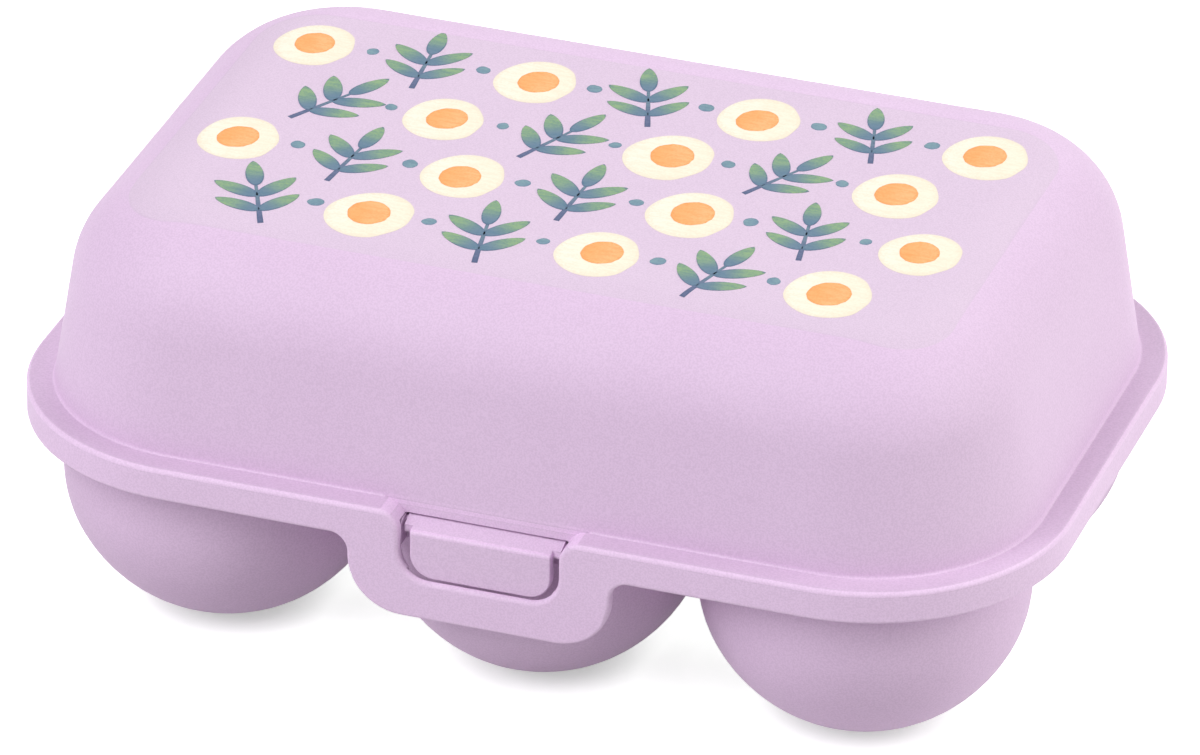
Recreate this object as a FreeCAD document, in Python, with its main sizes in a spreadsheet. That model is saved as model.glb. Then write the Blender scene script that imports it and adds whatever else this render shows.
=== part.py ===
"""Egg box: a tray of round cups, a hinged domed lid with a printed label, and a sprung front catch.

Frame: millimetres, +Z up, +X along the length, -Y towards the front tab, origin on the
table under the middle of the box.
"""
import FreeCAD, Part
import math
import os
import Sketcher

# Cups along the length and across the depth
CUP_COLUMNS = 3
CUP_ROWS = 2

# Driving dimensions, in millimetres; names that end in share are plain ratios
SIZES = {
    # Egg cups
    "cup_radius": 23.65,
    "cup_depth": 21.5,
    "cup_wall": 1.8,
    "cup_foot_radius": 5.0,
    "bowl_share": 0.92,
    "cup_side_share": 0.9,
    "cup_neck": 6.9,
    "cup_lip_radius": 1.2,
    "column_gap": 0.7,
    "row_overlap": 0.3,
    # Tray deck and rim
    "end_margin": 5.7,
    "side_margin": 4.5,
    "deck_thickness": 2.0,
    "rim_height": 2.0,
    "rim_wall": 2.0,
    "rim_edge_radius": 0.5,
    # Lid ledge, skirt and dome
    "lid_corner": 29.7,
    "rim_clearance": 0.6,
    "seat_gap": 0.2,
    "skirt_wall": 1.6,
    "skirt_height": 5.0,
    "skirt_top_radius": 0.7,
    "skirt_foot_radius": 0.5,
    "ledge_thickness": 2.0,
    "ledge_width": 4.0,
    "crease_radius": 0.4,
    "dome_height": 31.7,
    "dome_wall": 2.0,
    "dome_end_lean": 5.8,
    "dome_side_lean": 3.15,
    "dome_top_corner": 20.2,
    "dome_shoulder": 15.2,
    # Printed label
    "label_length": 122.0,
    "label_depth": 66.0,
    "label_corner": 9.0,
    "label_forward": 2.5,
    "label_film": 0.2,
    # Front tab with its window
    "tab_width": 39.0,
    "tab_drop": 11.5,
    "tab_corner": 8.0,
    "tab_root_radius": 2.8,
    "tab_bar": 6.0,
    "tab_bar_wall": 0.8,
    "window_width": 23.8,
    "window_corner": 4.4,
    "window_shoulder": 3.3,
    "window_lintel": 0.1,
    # Catch
    "catch_foot_gap": 0.15,
    "catch_side_gap": 1.45,
    "catch_plate_gap": 0.3,
    "catch_foot_recess": 1.0,
    "catch_head_recess": 4.0,
    "catch_head_rise": 1.05,
    "catch_lug_recess": 2.2,
    "catch_flap": 1.4,
    "catch_plate": 1.75,
    "catch_reach": 5.8,
    "catch_ridge_radius": 0.35,
    "catch_foot_corner": 3.5,
    "catch_edge_radius": 0.25,
    "catch_swing_gap": 1.0,
    "trunnion_radius": 0.6,
    "trunnion_length": 2.6,
    "trunnion_recess": 4.4,
    "ear_width": 3.0,
    "ear_gap": 0.5,
    "ear_front_gap": 0.8,
    "ear_depth": 3.8,
    # Rear hinge
    "hinge_offset": 2.4,
    "hinge_drop": 1.5,
    "hinge_spread": 68.0,
    "knuckle_radius": 2.2,
    "lid_knuckle_width": 12.0,
    "tray_knuckle_width": 5.0,
    "knuckle_gap": 0.3,
    "hinge_pin_radius": 1.1,
    "running_clearance": 0.05,
    "hinge_arm_root": 5.8,
    "hinge_arm_gap": 0.7,
    "gusset_height": 3.9,
    "gusset_bite": 0.8,
    "gusset_head": 1.0,
    # Working values for cuts and for finding edges
    "overrun": 2.0,
    "match": 0.01,
}

doc = FreeCAD.newDocument("egg_box")
sheet = doc.addObject("Spreadsheet::Sheet", "Sizes")
for row, (alias, number) in enumerate(SIZES.items(), 1):
    sheet.set(f"A{row}", alias)
    sheet.set(f"B{row}", str(number))
    sheet.setAlias(f"B{row}", alias)
doc.recompute()


class Measure:
    """A number worked out from the sheet, with the expression that gives it."""

    def __init__(self, text, value):
        self.text = text
        self.value = value

    def joined(self, sign, other, value):
        """The measure made of this one, a sign and another measure or plain number."""
        return Measure(f"({self.text} {sign} {getattr(other, 'text', other)})", value)

    def __add__(self, other):
        return self.joined("+", other, self.value + float(other))

    def __sub__(self, other):
        return self.joined("-", other, self.value - float(other))

    def __mul__(self, other):
        return self.joined("*", other, self.value * float(other))

    def __truediv__(self, other):
        return self.joined("/", other, self.value / float(other))

    def __neg__(self):
        return Measure(f"(-1 * {self.text})", -self.value)

    def __float__(self):
        return self.value


def size(alias):
    """The measure held in the sheet under an alias."""
    return Measure(f"Sizes.{alias}", float(sheet.get(alias)))


def smaller(first, second):
    """The smaller of two measures."""
    return Measure(f"min({first.text}; {second.text})", min(first.value, second.value))


# A place with no offset
flush = Measure("0", 0.0)

# Plan sizes that follow the cups
column_pitch = size("cup_radius") * 2 + size("column_gap")
row_pitch = size("cup_radius") * 2 - size("row_overlap")
half_length = column_pitch * (CUP_COLUMNS - 1) / 2 + size("cup_radius") + size("end_margin")
half_depth = row_pitch * (CUP_ROWS - 1) / 2 + size("cup_radius") + size("side_margin")
fit_inset = size("skirt_wall") + size("rim_clearance")
front = -half_depth

# A bowl no deeper than its width allows; what is left of the cup's depth is straight
bowl_depth = smaller(size("cup_depth"), size("cup_radius") * size("bowl_share"))

# Heights above the table
deck_bottom = size("cup_depth") + size("cup_neck")
deck_top = deck_bottom + size("deck_thickness")
rim_top = deck_top + size("rim_height")
ledge_bottom = rim_top + size("seat_gap")
ledge_top = ledge_bottom + size("ledge_thickness")
skirt_bottom = ledge_top - size("skirt_height")
lid_top = ledge_top + size("dome_height")
tab_bottom = skirt_bottom - size("tab_drop")
window_bottom = tab_bottom + size("tab_bar")
lintel = ledge_bottom + size("window_lintel")

# Hinge axis behind the skirt, catch axis behind the rim's front
hinge_y = half_depth + size("hinge_offset")
hinge_z = skirt_bottom - size("hinge_drop")
bore_radius = size("hinge_pin_radius") + size("running_clearance")
catch_axis_y = front + size("trunnion_recess")
catch_axis_z = rim_top - size("catch_swing_gap")
window_half = size("window_width") / 2
plate_half = window_half - size("catch_plate_gap")
flap_half = window_half - size("catch_side_gap")

# The hinge stands out behind, so the whole box moves forward by half of that
middle_shift = -(size("hinge_offset") + size("knuckle_radius")) / 2


def new_body(label):
    """An empty body, moved so that the box's footprint is centred on the origin."""
    body = doc.addObject("PartDesign::Body", label)
    body.Label = label
    body.setExpression("Placement.Base.y", middle_shift.text)
    return body


def plane(body, role):
    """An origin plane or axis of a body, found by its role."""
    return next(item for item in body.Origin.OriginFeatures if item.Role == role)


def new_sketch(body, name, role, offset=None, across=None):
    """A sketch on an origin plane, set off along its normal and across its first axis."""
    sketch = body.newObject("Sketcher::SketchObject", name)
    sketch.AttachmentSupport = [(plane(body, role), "")]
    sketch.MapMode = "FlatFace"
    if offset is not None:
        sketch.setExpression("AttachmentOffset.Base.z", offset.text)
    if across is not None:
        sketch.setExpression("AttachmentOffset.Base.x", across.text)
    return sketch


def pin_size(sketch, measure, *constraint):
    """Adds a dimension to a sketch and binds it to a measure."""
    number = sketch.addConstraint(Sketcher.Constraint(*constraint, float(measure)))
    sketch.setExpression(f"Constraints[{number}]", measure.text)


def draw_polygon(sketch, points):
    """Draws a closed polygon whose corners are given as pairs of measures."""
    spots = [FreeCAD.Vector(float(x), float(y), 0) for x, y in points]
    count = len(spots)
    for i in range(count):
        sketch.addGeometry(Part.LineSegment(spots[i], spots[(i + 1) % count]), False)
    for i in range(count):
        sketch.addConstraint(Sketcher.Constraint("Coincident", i, 2, (i + 1) % count, 1))
    for i, (x, y) in enumerate(points):
        pin_size(sketch, x, "DistanceX", -1, 1, i, 1)
        pin_size(sketch, y, "DistanceY", -1, 1, i, 1)


def draw_box(sketch, left, right, low, high):
    """Draws an upright rectangle between two sides and two levels."""
    draw_polygon(sketch, [(left, low), (right, low), (right, high), (left, high)])


def draw_circle(sketch, x, y, radius):
    """Draws a circle with its centre at a pair of measures."""
    centre = FreeCAD.Vector(float(x), float(y), 0)
    item = sketch.addGeometry(Part.Circle(centre, FreeCAD.Vector(0, 0, 1), float(radius)), False)
    pin_size(sketch, x, "DistanceX", -1, 1, item, 3)
    pin_size(sketch, y, "DistanceY", -1, 1, item, 3)
    pin_size(sketch, radius, "Radius", item)


def draw_flare(sketch, x, top, radius):
    """Draws what is cut from an upright corner to round it outwards: a square less a quarter disc."""
    left, right = float(x), float(x) + float(radius)
    head = float(top) + float(size("overrun"))
    centre = FreeCAD.Vector(right, float(top) - float(radius), 0)
    corners = [FreeCAD.Vector(left, centre.y, 0), FreeCAD.Vector(left, head, 0),
               FreeCAD.Vector(right, head, 0), FreeCAD.Vector(right, float(top), 0)]
    for i in range(3):
        sketch.addGeometry(Part.LineSegment(corners[i], corners[i + 1]), False)
    circle = Part.Circle(centre, FreeCAD.Vector(0, 0, 1), float(radius))
    sketch.addGeometry(Part.ArcOfCircle(circle, math.pi / 2, math.pi), False)
    for i in range(4):
        sketch.addConstraint(Sketcher.Constraint("Coincident", i, 2, (i + 1) % 4, 1))
    for kind, item in (("Vertical", 0), ("Horizontal", 1), ("Vertical", 2)):
        sketch.addConstraint(Sketcher.Constraint(kind, item))
    sketch.addConstraint(Sketcher.Constraint("Vertical", 3, 3, 3, 1))
    sketch.addConstraint(Sketcher.Constraint("Horizontal", 3, 3, 3, 2))
    pin_size(sketch, x + radius, "DistanceX", -1, 1, 3, 3)
    pin_size(sketch, top - radius, "DistanceY", -1, 1, 3, 3)
    pin_size(sketch, radius, "Radius", 3)
    pin_size(sketch, top + size("overrun"), "DistanceY", -1, 1, 1, 1)


def draw_rounded_rectangle(sketch, half_x, half_y, radius, middle_y=None):
    """Draws a rounded rectangle, centred on the sketch's origin or set off along its second axis."""
    hx, hy, r = float(half_x), float(half_y), float(radius)
    my = float(middle_y) if middle_y else 0.0
    ends = [((hx - r, my - hy), (r - hx, my - hy)), ((-hx, my + r - hy), (-hx, my + hy - r)),
            ((r - hx, my + hy), (hx - r, my + hy)), ((hx, my + hy - r), (hx, my + r - hy))]
    for start, end in ends:
        sketch.addGeometry(Part.LineSegment(FreeCAD.Vector(*start, 0), FreeCAD.Vector(*end, 0)), False)
    centres = [(r - hx, my + r - hy), (r - hx, my + hy - r),
               (hx - r, my + hy - r), (hx - r, my + r - hy)]
    quarter = math.pi / 2
    for i, (x, y) in enumerate(centres):
        circle = Part.Circle(FreeCAD.Vector(x, y, 0), FreeCAD.Vector(0, 0, 1), r)
        begin = (2 - i) * quarter
        sketch.addGeometry(Part.ArcOfCircle(circle, begin, begin + quarter), False)
    for i in range(4):
        sketch.addConstraint(Sketcher.Constraint("Tangent", i, 2, 4 + i, 2))
        sketch.addConstraint(Sketcher.Constraint("Tangent", 4 + i, 1, (i + 1) % 4, 1))
        sketch.addConstraint(Sketcher.Constraint("Vertical" if i % 2 else "Horizontal", i))
    for i in range(5, 8):
        sketch.addConstraint(Sketcher.Constraint("Equal", 4, i))
    pin_size(sketch, radius, "Radius", 4)
    pin_size(sketch, half_x, "DistanceX", -1, 1, 3, 1)
    pin_size(sketch, -half_x, "DistanceX", -1, 1, 1, 1)
    pin_size(sketch, middle_y + half_y if middle_y else half_y, "DistanceY", -1, 1, 2, 1)
    pin_size(sketch, middle_y - half_y if middle_y else -half_y, "DistanceY", -1, 1, 0, 1)


def draw_lid_outline(sketch, inset):
    """Draws the lid's plan outline, drawn in all round by an inset."""
    draw_rounded_rectangle(sketch, half_length - inset, half_depth - inset, size("lid_corner") - inset)


def draw_cup(sketch, radius, side_radius, floor, top):
    """Draws half of a cup's section: flat foot, wide bottom arc, tighter side arc and straight neck."""
    equator = bowl_depth
    foot = size("cup_foot_radius")
    rise = float(equator) - float(floor)
    side_x = float(radius) - float(side_radius)
    rs, rf = float(side_radius), float(foot)
    # The bottom arc passes through the foot's edge and meets the side arc without a kink
    half_sum = (side_x ** 2 + rise ** 2 - rf ** 2 - rs ** 2) / 2
    square = rise ** 2 - rs ** 2
    root = (half_sum * rise) ** 2 - square * (half_sum ** 2 - (rs * rf) ** 2)
    centre = (half_sum * rise + math.sqrt(root)) / square
    bottom_radius = math.hypot(rf, centre)
    meet = math.atan2(rise - centre, side_x)
    normal = FreeCAD.Vector(0, 0, 1)
    low = FreeCAD.Vector(0, float(floor), 0)
    foot_edge = FreeCAD.Vector(rf, float(floor), 0)
    wall_foot = FreeCAD.Vector(float(radius), float(equator), 0)
    wall_head = FreeCAD.Vector(float(radius), float(top), 0)
    head = FreeCAD.Vector(0, float(top), 0)
    bottom = Part.Circle(FreeCAD.Vector(0, float(floor) + centre, 0), normal, bottom_radius)
    side = Part.Circle(FreeCAD.Vector(side_x, float(equator), 0), normal, rs)
    sketch.addGeometry(Part.LineSegment(low, foot_edge), False)
    sketch.addGeometry(Part.ArcOfCircle(bottom, math.atan2(-centre, rf), meet), False)
    sketch.addGeometry(Part.ArcOfCircle(side, meet, 0), False)
    sketch.addGeometry(Part.LineSegment(wall_foot, wall_head), False)
    sketch.addGeometry(Part.LineSegment(wall_head, head), False)
    sketch.addGeometry(Part.LineSegment(head, low), False)
    for first, second in ((0, 1), (3, 4), (4, 5), (5, 0)):
        sketch.addConstraint(Sketcher.Constraint("Coincident", first, 2, second, 1))
    for first, second in ((1, 2), (2, 3)):
        sketch.addConstraint(Sketcher.Constraint("Tangent", first, 2, second, 1))
    for item in (0, 4):
        sketch.addConstraint(Sketcher.Constraint("Horizontal", item))
    sketch.addConstraint(Sketcher.Constraint("Vertical", 3))
    sketch.addConstraint(Sketcher.Constraint("PointOnObject", 0, 1, -2))
    sketch.addConstraint(Sketcher.Constraint("PointOnObject", 4, 2, -2))
    sketch.addConstraint(Sketcher.Constraint("PointOnObject", 1, 3, -2))
    pin_size(sketch, floor, "DistanceY", -1, 1, 0, 1)
    pin_size(sketch, foot, "DistanceX", -1, 1, 0, 2)
    pin_size(sketch, side_radius, "Radius", 2)
    pin_size(sketch, radius, "DistanceX", -1, 1, 3, 1)
    pin_size(sketch, equator, "DistanceY", -1, 1, 2, 3)
    pin_size(sketch, top, "DistanceY", -1, 1, 3, 2)


def extrude(body, kind, name, sketch, length, reverse=False, both_sides=False):
    """A pad or pocket of a sketch by a bound length."""
    feature = body.newObject(f"PartDesign::{kind}", name)
    feature.Profile = sketch
    feature.setExpression("Length", length.text)
    feature.Reversed = reverse
    if both_sides:
        feature.SideType = "Symmetric"
    doc.recompute()
    return feature


def revolve(body, kind, name, sketch):
    """A full turn of a sketch about its own upright axis, added or cut."""
    feature = body.newObject(f"PartDesign::{kind}", name)
    feature.Profile = sketch
    feature.ReferenceAxis = (sketch, ["V_Axis"])
    doc.recompute()
    return feature


def loft(body, kind, name, low_sketch, high_sketch):
    """A ruled loft between two sketches, added or cut."""
    feature = body.newObject(f"PartDesign::{kind}", name)
    feature.Profile = low_sketch
    feature.Sections = [high_sketch]
    feature.Ruled = True
    doc.recompute()
    return feature


def mirror(body, name, features):
    """Copies features to the other side of the YZ plane."""
    feature = body.newObject("PartDesign::Mirrored", name)
    feature.Originals = features
    feature.MirrorPlane = (plane(body, "YZ_Plane"), [""])
    body.Tip = feature
    doc.recompute()
    return feature


def cup_grid(body, name, feature):
    """Repeats a cup's feature over the columns and rows."""
    grid = body.newObject("PartDesign::LinearPattern", name)
    grid.Originals = [feature]
    grid.Direction = (plane(body, "X_Axis"), [""])
    grid.setExpression("Length", (column_pitch * (CUP_COLUMNS - 1)).text)
    grid.Occurrences = CUP_COLUMNS
    grid.Direction2 = (plane(body, "Y_Axis"), [""])
    grid.setExpression("Length2", (row_pitch * (CUP_ROWS - 1)).text)
    grid.Occurrences2 = CUP_ROWS
    body.Tip = grid
    doc.recompute()
    return grid


def edges_at(feature, x=None, y=None, z=None):
    """Names of the edges that keep the given coordinates all along; x counts on both sides."""
    near = float(size("match"))
    names = []
    for number, edge in enumerate(feature.Shape.Edges, 1):
        box = edge.BoundBox
        wanted = []
        if x is not None:
            wanted += [abs(abs(box.XMin) - float(x)), box.XMax - box.XMin]
        if y is not None:
            wanted += [abs(box.YMin - float(y)), abs(box.YMax - float(y))]
        if z is not None:
            wanted += [abs(box.ZMin - float(z)), abs(box.ZMax - float(z))]
        if max(wanted) < near:
            names.append(f"Edge{number}")
    return names


def round_edges(body, name, feature, edges, radius):
    """Rounds named edges of a feature by a bound radius."""
    rounding = body.newObject("PartDesign::Fillet", name)
    rounding.Base = (feature, edges)
    rounding.setExpression("Radius", radius.text)
    doc.recompute()
    return rounding


def dome_sections(body, name, inset, drop):
    """Foot and top sketches of the dome, drawn in by an inset and lowered by a drop."""
    foot_inset = size("ledge_width") + inset
    foot = new_sketch(body, f"{name}_foot", "XY_Plane", ledge_top - drop)
    draw_lid_outline(foot, foot_inset)
    top = new_sketch(body, f"{name}_top", "XY_Plane", lid_top - drop)
    draw_rounded_rectangle(
        top,
        half_length - foot_inset - size("dome_end_lean"),
        half_depth - foot_inset - size("dome_side_lean"),
        size("dome_top_corner") - inset,
    )
    return foot, top


def make_tray():
    """The tray: deck with a raised rim, hanging cups, hinge arms at the back, catch ears in front."""
    body = new_body("base_tray")
    outline = new_sketch(body, "deck_outline", "XY_Plane", deck_bottom)
    draw_lid_outline(outline, fit_inset)
    deck = extrude(body, "Pad", "deck", outline, rim_top - deck_bottom)
    well = new_sketch(body, "deck_well_outline", "XY_Plane", rim_top)
    draw_lid_outline(well, fit_inset + size("rim_wall"))
    deck = extrude(body, "Pocket", "deck_well", well, size("rim_height"))
    edges = edges_at(deck, z=rim_top)
    round_edges(body, "rim_edges", deck, edges, size("rim_edge_radius"))
    tray_hinge(body)
    tray_catch_seat(body)
    side_radius = bowl_depth * size("cup_side_share")
    outer = cup_sketch(body, "cup_outside")
    draw_cup(outer, size("cup_radius"), side_radius, flush, deck_bottom + size("cup_wall"))
    cup_grid(body, "cups", revolve(body, "Revolution", "cup", outer))
    inner = cup_sketch(body, "cup_inside")
    wall = size("cup_wall")
    draw_cup(inner, size("cup_radius") - wall, side_radius - wall, wall, rim_top)
    hollows = cup_grid(body, "cup_hollows", revolve(body, "Groove", "cup_hollow", inner))
    lips = [f"Edge{i}" for i, edge in enumerate(hollows.Shape.Edges, 1) if is_cup_lip(edge)]
    round_edges(body, "cup_lips", hollows, lips, size("cup_lip_radius"))
    return body


def cup_sketch(body, name):
    """An upright sketch through the middle of the front cup at the low end of the length."""
    first_row = row_pitch * (CUP_ROWS - 1) / 2
    first_column = -column_pitch * (CUP_COLUMNS - 1) / 2
    return new_sketch(body, name, "XZ_Plane", first_row, first_column)


def is_cup_lip(edge):
    """Whether an edge is a cup's round mouth on the deck's top."""
    near = float(size("match"))
    mouth = float(size("cup_radius") - size("cup_wall"))
    box = edge.BoundBox
    level = max(abs(box.ZMin - float(deck_top)), abs(box.ZMax - float(deck_top))) < near
    return level and isinstance(edge.Curve, Part.Circle) and abs(edge.Curve.Radius - mouth) < near


def knuckle_barrel(body, name, start, width):
    """A round barrel with the pin's bore, from a start along the length."""
    sketch = new_sketch(body, f"{name}_section", "YZ_Plane", start)
    draw_circle(sketch, hinge_y, hinge_z, size("knuckle_radius"))
    return extrude(body, "Pad", name, sketch, width)


def hinge_bore(body, name):
    """The pin's bore through every knuckle of a body."""
    sketch = new_sketch(body, f"{name}_section", "YZ_Plane")
    draw_circle(sketch, hinge_y, hinge_z, bore_radius)
    return extrude(body, "Pocket", name, sketch, half_length * 2, both_sides=True)


def tray_hinge(body):
    """Two pairs of tray knuckles on arms that reach out under the skirt."""
    lid_half = size("lid_knuckle_width") / 2 + size("knuckle_gap")
    middle = size("hinge_spread") / 2
    starts = {"inner": middle - lid_half - size("tray_knuckle_width"), "outer": middle + lid_half}
    arm_root = half_depth - size("hinge_arm_root")
    arm_low = hinge_z - size("knuckle_radius")
    arm_high = skirt_bottom - size("hinge_arm_gap")
    features = []
    for place, start in starts.items():
        arm = new_sketch(body, f"hinge_arm_{place}_section", "YZ_Plane", start)
        draw_polygon(arm, [(arm_root, arm_low), (hinge_y, arm_low), (hinge_y, hinge_z),
                           (half_depth, arm_high), (arm_root, arm_high)])
        features.append(extrude(body, "Pad", f"hinge_arm_{place}", arm, size("tray_knuckle_width")))
        features.append(knuckle_barrel(body, f"tray_knuckle_{place}", start, size("tray_knuckle_width")))
    mirror(body, "tray_knuckles_left", features)
    hinge_bore(body, "tray_pin_bore")


def tray_catch_seat(body):
    """The gap in the rim for the catch, and the ears whose bores carry its trunnions."""
    ear_start = plate_half + size("ear_gap")
    ear_front = front + fit_inset + size("ear_front_gap") - size("rim_clearance")
    gap = new_sketch(body, "catch_gap_outline", "XY_Plane", rim_top)
    gap_back = front + fit_inset + size("ear_depth") + size("overrun")
    draw_box(gap, -ear_start, ear_start, front, gap_back)
    extrude(body, "Pocket", "catch_gap", gap, size("rim_height"))
    relief = new_sketch(body, "catch_relief_outline", "XY_Plane", deck_top)
    draw_box(relief, -ear_start, ear_start, front, catch_axis_y)
    extrude(body, "Pocket", "catch_relief", relief, size("deck_thickness") + size("overrun"))
    ear = new_sketch(body, "catch_ear_outline", "XY_Plane", deck_top - size("deck_thickness") / 2)
    ear_end = ear_start + size("ear_width")
    draw_box(ear, ear_start, ear_end, ear_front, ear_front + size("ear_depth"))
    block = extrude(body, "Pad", "catch_ear", ear, rim_top - deck_top + size("deck_thickness") / 2)
    mirror(body, "catch_ears", [block])
    bore = new_sketch(body, "trunnion_bore_section", "YZ_Plane")
    draw_circle(bore, catch_axis_y, catch_axis_z, size("trunnion_radius") + size("running_clearance"))
    extrude(body, "Pocket", "trunnion_bore", bore, (ear_end + size("overrun")) * 2, both_sides=True)


def make_lid_form():
    """The lid before its label is let in: dome, ledge, skirt, tab with its window, hinge knuckles."""
    body = new_body("lid_form")
    outline = new_sketch(body, "skirt_outline", "XY_Plane", skirt_bottom)
    draw_lid_outline(outline, flush)
    extrude(body, "Pad", "skirt", outline, size("skirt_height"))
    loft(body, "AdditiveLoft", "dome", *dome_sections(body, "dome", flush, flush))
    well = new_sketch(body, "skirt_well_outline", "XY_Plane", ledge_bottom)
    draw_lid_outline(well, size("skirt_wall"))
    extrude(body, "Pocket", "skirt_well", well, size("skirt_height"))
    foot, top = dome_sections(body, "hollow", size("dome_wall"), size("dome_wall"))
    foot.setExpression("AttachmentOffset.Base.z", ledge_bottom.text)
    hollow = loft(body, "SubtractiveLoft", "dome_hollow", foot, top)
    inner_edges = edges_at(hollow, z=lid_top - size("dome_wall"))
    inner_radius = size("dome_shoulder") - size("dome_wall")
    hollow = round_edges(body, "hollow_shoulder", hollow, inner_edges, inner_radius)
    shell = round_edges(body, "dome_shoulder", hollow, edges_at(hollow, z=lid_top), size("dome_shoulder"))
    crease = [name for name in edges_at(shell, z=ledge_top) if is_inside_skirt(shell, name)]
    round_edges(body, "dome_crease", shell, crease, size("crease_radius"))
    lid_tab(body)
    lid_hinge(body)
    return body


def is_inside_skirt(feature, name):
    """Whether a named edge lies on the dome's foot and not on the skirt's outline."""
    box = feature.Shape.getElement(name).BoundBox
    near = float(size("match"))
    reach_x = max(abs(box.XMin), abs(box.XMax))
    reach_y = max(abs(box.YMin), abs(box.YMax))
    inset = float(size("ledge_width"))
    return reach_x < float(half_length) - inset + near and reach_y < float(half_depth) - inset + near


def lid_tab(body):
    """The front tab with its window, the rounded edges round both, and the hollow behind its bar."""
    tab_half = size("tab_width") / 2
    outline = new_sketch(body, "tab_outline", "XZ_Plane", half_depth)
    tab_head = skirt_bottom + size("skirt_foot_radius")
    draw_box(outline, -tab_half, tab_half, tab_bottom, tab_head)
    tab = extrude(body, "Pad", "tab", outline, size("skirt_wall"), reverse=True)
    corners = edges_at(tab, x=tab_half, z=tab_bottom)
    tab = round_edges(body, "tab_corners", tab, corners, size("tab_corner"))
    roots = edges_at(tab, x=tab_half, z=skirt_bottom)
    round_edges(body, "tab_roots", tab, roots, size("tab_root_radius"))
    window = new_sketch(body, "window_outline", "XZ_Plane", half_depth)
    draw_box(window, -window_half, window_half, window_bottom, ledge_top + size("overrun"))
    cut = extrude(body, "Pocket", "window", window, size("ledge_width"))
    low = edges_at(cut, x=window_half, z=window_bottom)
    cut = round_edges(body, "window_corners", cut, low, size("window_corner"))
    flare = new_sketch(body, "window_flare_outline", "XZ_Plane", half_depth)
    draw_flare(flare, window_half, ledge_top, size("window_shoulder"))
    shoulder = extrude(body, "Pocket", "window_flare", flare, size("ledge_width"))
    cut = mirror(body, "window_shoulders", [shoulder])
    top_edges = edges_at(cut, y=front, z=ledge_top)
    cut = round_edges(body, "skirt_top_edge", cut, top_edges, size("skirt_top_radius"))
    foot_edges = edges_at(cut, y=front, z=tab_bottom)
    round_edges(body, "skirt_foot_edge", cut, foot_edges, size("skirt_foot_radius"))
    relief = new_sketch(body, "lintel_outline", "XY_Plane", lintel)
    draw_box(relief, -window_half, window_half, front, front + size("catch_reach") + size("overrun"))
    extrude(body, "Pocket", "lintel_relief", relief, size("window_lintel"))
    behind = half_depth - size("skirt_wall") - size("overrun")
    hollow = new_sketch(body, "tab_bar_hollow_outline", "XZ_Plane", behind)
    side = flap_half + size("catch_plate_gap")
    draw_box(hollow, -side, side, tab_bottom - size("overrun"), window_bottom + size("window_corner"))
    hollow_depth = size("skirt_wall") + size("overrun") - size("tab_bar_wall")
    extrude(body, "Pocket", "tab_bar_hollow", hollow, hollow_depth, reverse=True)


def lid_hinge(body):
    """Two lid knuckles hung from gussets on the skirt's back."""
    start = size("hinge_spread") / 2 - size("lid_knuckle_width") / 2
    gusset = new_sketch(body, "gusset_section", "YZ_Plane", start)
    bite = half_depth - size("gusset_bite")
    gusset_low = skirt_bottom + size("skirt_foot_radius")
    gusset_high = skirt_bottom + size("gusset_height")
    back = hinge_y + size("knuckle_radius")
    draw_polygon(gusset, [(bite, gusset_low), (hinge_y, hinge_z), (back, hinge_z), (back, gusset_low),
                          (half_depth + size("gusset_head"), gusset_high), (bite, gusset_high)])
    leaf = extrude(body, "Pad", "gusset", gusset, size("lid_knuckle_width"))
    barrel = knuckle_barrel(body, "lid_knuckle", start, size("lid_knuckle_width"))
    mirror(body, "lid_knuckles_left", [leaf, barrel])
    hinge_bore(body, "lid_pin_bore")


def make_label_space():
    """The space that the label's film takes out of the lid: a rounded block above a lowered dome."""
    lowered = new_body("label_bed")
    film = size("label_film")
    foot, top = dome_sections(lowered, "bed", flush, film)
    extrude(lowered, "Pad", "bed_plinth", foot, size("ledge_thickness"), reverse=True)
    bed = loft(lowered, "AdditiveLoft", "bed", foot, top)
    round_edges(lowered, "bed_shoulder", bed, edges_at(bed, z=lid_top - film), size("dome_shoulder"))
    block = new_body("label_block")
    outline = new_sketch(block, "label_outline", "XY_Plane", lid_top - size("dome_shoulder") / 2)
    half_x = size("label_length") / 2
    half_y = size("label_depth") / 2
    draw_rounded_rectangle(outline, half_x, half_y, size("label_corner"), -size("label_forward"))
    extrude(block, "Pad", "label_prism", outline, size("dome_shoulder"))
    return join("Part::Cut", "label_space", block, lowered)


def join(kind, label, base, tool):
    """A boolean of two objects under a label of its own."""
    result = doc.addObject(kind, label)
    result.Label = label
    result.Base = base
    result.Tool = tool
    doc.recompute()
    return result


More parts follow.
